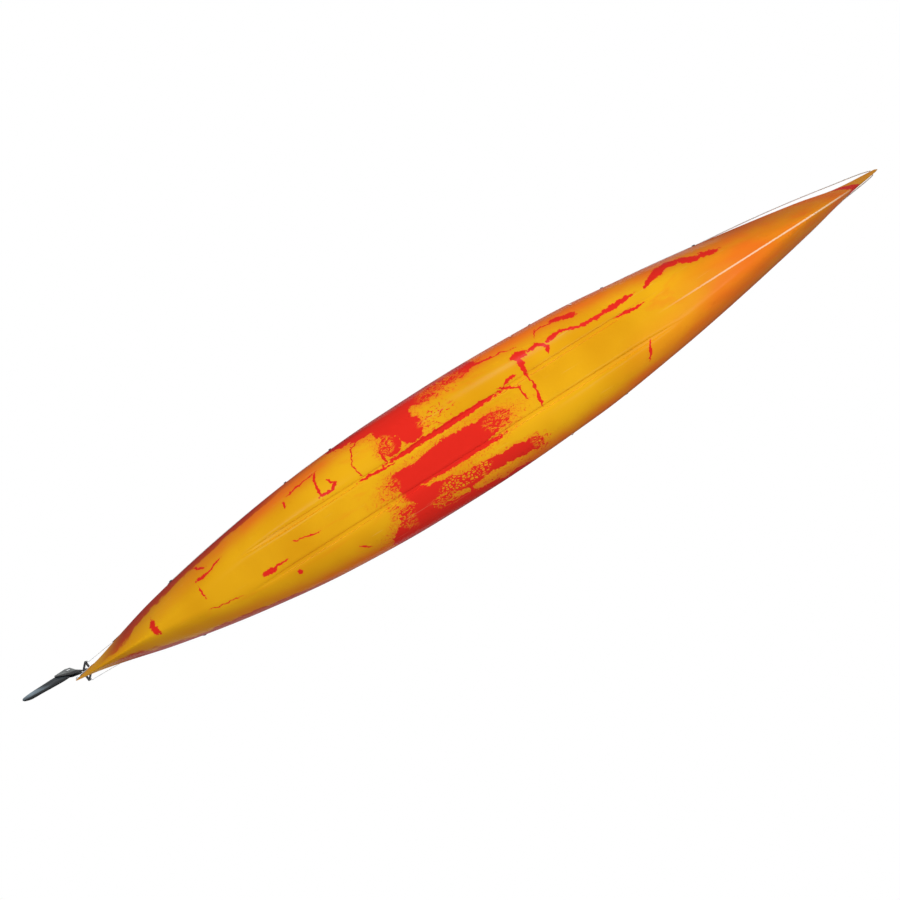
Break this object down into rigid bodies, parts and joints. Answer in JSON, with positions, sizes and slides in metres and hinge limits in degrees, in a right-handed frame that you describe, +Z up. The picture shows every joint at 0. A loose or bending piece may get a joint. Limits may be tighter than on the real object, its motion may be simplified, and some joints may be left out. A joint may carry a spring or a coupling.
{
  "type": "sea kayak",
  "caption": "Slender one-seat decked racing and touring kayak with a moulded hull, keyhole cockpit, two lidded hatches, deck lines and a foot-steered lifting rudder.",
  "frame": {"origin": "on the flat of the keel, halfway along the hull", "axes": "+X to the bow, +Y to port, +Z up"},
  "size_m": [5.1629, 0.6236, 0.4241],
  "materials": {
    "hull_plastic": "moulded polyethylene, golden yellow marbled with orange and red",
    "foam": "closed-cell foam",
    "black_plastic": "moulded, satin",
    "seat_fabric": "woven cover",
    "rubber": "moulded rubber",
    "steel": "stainless steel",
    "aluminium": "grey anodised",
    "blade_coating": "dark blue-grey gloss coating",
    "rope": "braided cord",
    "bungee": "woven elastic cord"
  },
  "bodies": {
    "hull": {"hull_shell": "hull_plastic", "bow_bulkhead": "foam", "stern_bulkhead": "foam", "seat_pan": "black_plastic", "seat_pad": "seat_fabric", "seat_bolt_left": "steel", "seat_bolt_right": "steel", "thigh_brace_left": "black_plastic", "thigh_brace_right": "black_plastic", "footrest_rail_left": "aluminium", "footrest_rail_right": "aluminium", "footrest_screw_left_rear": "steel", "footrest_screw_left_front": "steel", "footrest_screw_right_rear": "steel", "footrest_screw_right_front": "steel", "pedal_wire_left": "steel", "pedal_wire_right": "steel", "cable_conduit_left": "black_plastic", "cable_conduit_right": "black_plastic", "rudder_cable_left": "steel", "rudder_cable_right": "steel", "rudder_bracket": "steel", "rudder_stow_chock": "rubber", "rudder_lift_line": "rope", "bow_eye_left_1": "black_plastic", "bow_eye_left_2": "black_plastic", "bow_eye_left_3": "black_plastic", "bow_eye_right_1": "black_plastic", "bow_eye_right_2": "black_plastic", "bow_eye_right_3": "black_plastic", "stern_eye_left_1": "black_plastic", "stern_eye_left_2": "black_plastic", "stern_eye_left_3": "black_plastic", "stern_eye_right_1": "black_plastic", "stern_eye_right_2": "black_plastic", "stern_eye_right_3": "black_plastic", "stern_handle_eye": "black_plastic", "bow_handle_eye": "black_plastic", "deck_line_bow": "rope", "deck_line_stern_left": "rope", "deck_line_stern_right": "rope", "foredeck_bungee": "bungee", "aftdeck_bungee": "bungee"},
    "backrest": {"backrest": "seat_fabric"},
    "left_pedal": {"rudder_pedal_left": "black_plastic"},
    "right_pedal": {"rudder_pedal_right": "black_plastic"},
    "rudder_head": {"rudder_pivot_pin": "steel", "rudder_yoke": "black_plastic", "cable_link_left": "steel", "cable_link_right": "steel", "rudder_housing": "aluminium", "blade_pivot_bolt": "steel"},
    "rudder_blade": {"rudder_blade": "blade_coating"},
    "bow_hatch": {"bow_hatch_cover": "rubber"},
    "stern_hatch": {"stern_hatch_cover": "rubber"},
    "bow_handle": {"bow_toggle": "black_plastic", "bow_toggle_loop": "rope"},
    "stern_handle": {"stern_toggle": "black_plastic", "stern_toggle_loop": "rope"}
  },
  "joints": [
    {"name": "rudder_yaw", "type": "hinge", "parent": "hull", "child": "rudder_head", "pos_m": [-2.497, 0, 0.3], "axis": [0, 0, 1], "range_deg": [-60, 20], "deforming": ["rudder_cable_left", "rudder_cable_right"]},
    {"name": "blade_lift", "type": "hinge", "parent": "rudder_head", "child": "rudder_blade", "pos_m": [-2.62386, -0.04617, 0.37015], "axis": [-0.342, 0.9397, 0], "range_deg": [0, 262]},
    {"name": "left_pedal_slide", "type": "slide", "parent": "hull", "child": "left_pedal", "axis": [0.9973, -0.0731, 0], "range_m": [-0.018, 0.053], "deforming": ["pedal_wire_left"]},
    {"name": "right_pedal_slide", "type": "slide", "parent": "hull", "child": "right_pedal", "axis": [0.9973, 0.0731, 0], "range_m": [-0.053, 0.018], "deforming": ["pedal_wire_right"]},
    {"name": "backrest_fold", "type": "hinge", "parent": "hull", "child": "backrest", "pos_m": [-0.33, 0, 0.11254], "axis": [0, 1, 0], "range_deg": [0, 75]},
    {"name": "bow_hatch_lift", "type": "slide", "parent": "hull", "child": "bow_hatch", "axis": [0, 0, 1], "range_m": [0, 0.12]},
    {"name": "stern_hatch_lift", "type": "slide", "parent": "hull", "child": "stern_hatch", "axis": [0, 0, 1], "range_m": [0, 0.12]},
    {"name": "bow_handle_swing", "type": "hinge", "parent": "hull", "child": "bow_handle", "pos_m": [2.08939, 0, 0.35498], "axis": [0, 1, 0], "range_deg": [0, 110]},
    {"name": "stern_handle_swing", "type": "hinge", "parent": "hull", "child": "stern_handle", "pos_m": [-2.08951, 0, 0.30132], "axis": [0, -1, 0], "range_deg": [0, 110]}
  ],
  "couplings": [
    {"joint": "left_pedal_slide", "follows": "rudder_yaw", "m_per_rad": -0.049},
    {"joint": "right_pedal_slide", "follows": "rudder_yaw", "m_per_rad": 0.049}
  ]
}
